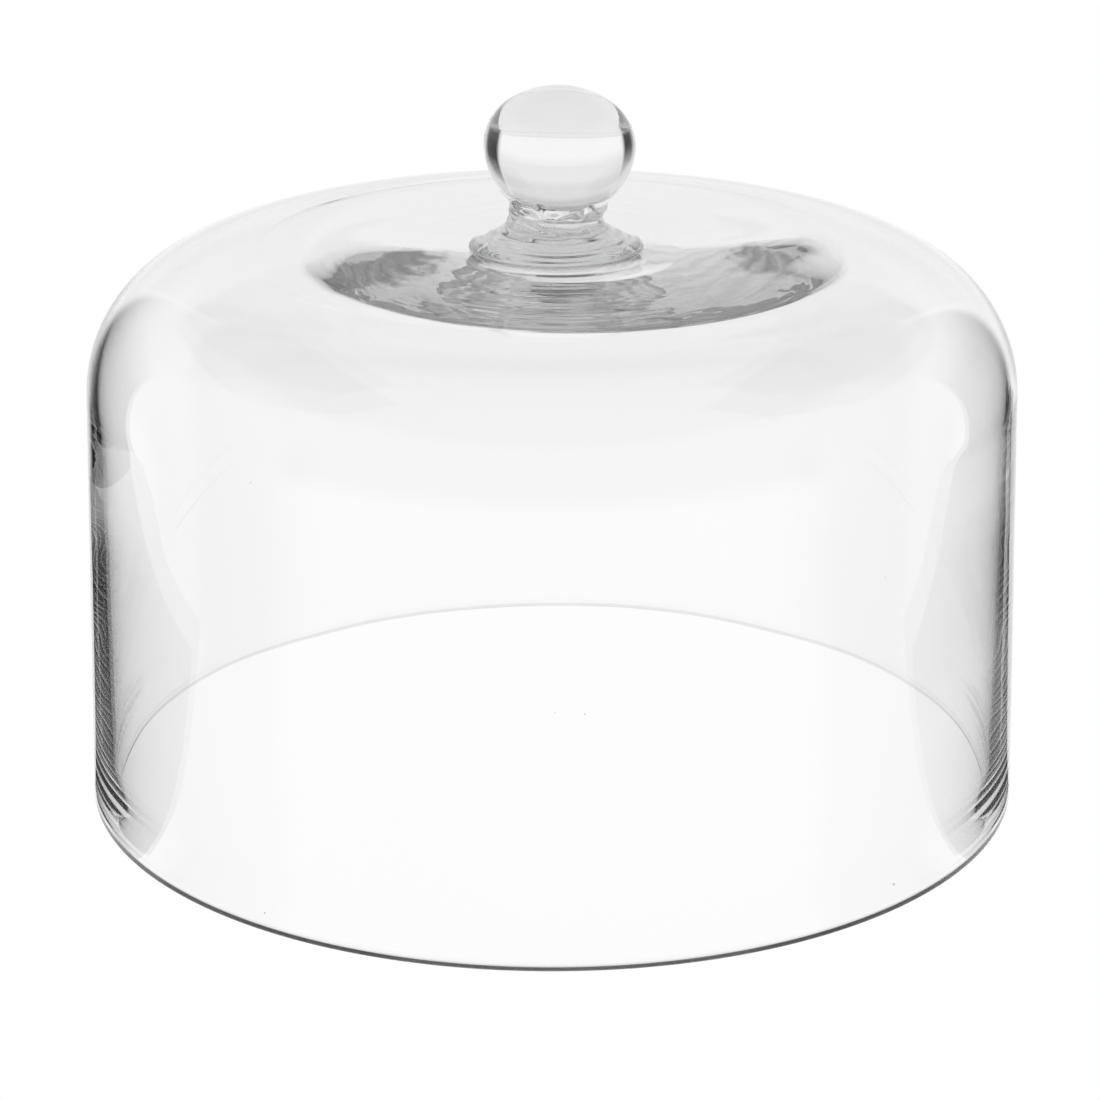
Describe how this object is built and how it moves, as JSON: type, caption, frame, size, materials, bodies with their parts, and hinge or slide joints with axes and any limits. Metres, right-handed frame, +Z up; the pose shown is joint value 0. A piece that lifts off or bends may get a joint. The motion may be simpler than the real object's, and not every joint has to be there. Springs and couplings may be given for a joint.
{
  "type": "glass cloche",
  "caption": "Clear glass cloche: open-bottomed blown dome with a slightly flared wall, rounded shoulder and low crown, lifted by a solid ball knob on a disc collar.",
  "frame": {"origin": "centre of the circle the rim rests on, in the resting plane", "axes": "+Z up along the dome's axis from the mouth to the knob; +X is the way the knob leans; +Y completes the right-handed set"},
  "size_m": [0.2849, 0.285, 0.2176],
  "materials": {
    "clear_glass": "clear, fire-polished"
  },
  "bodies": {
    "root": {"dome_shell": "clear_glass", "knob_foot": "clear_glass", "knob": "clear_glass"}
  },
  "joints": []
}
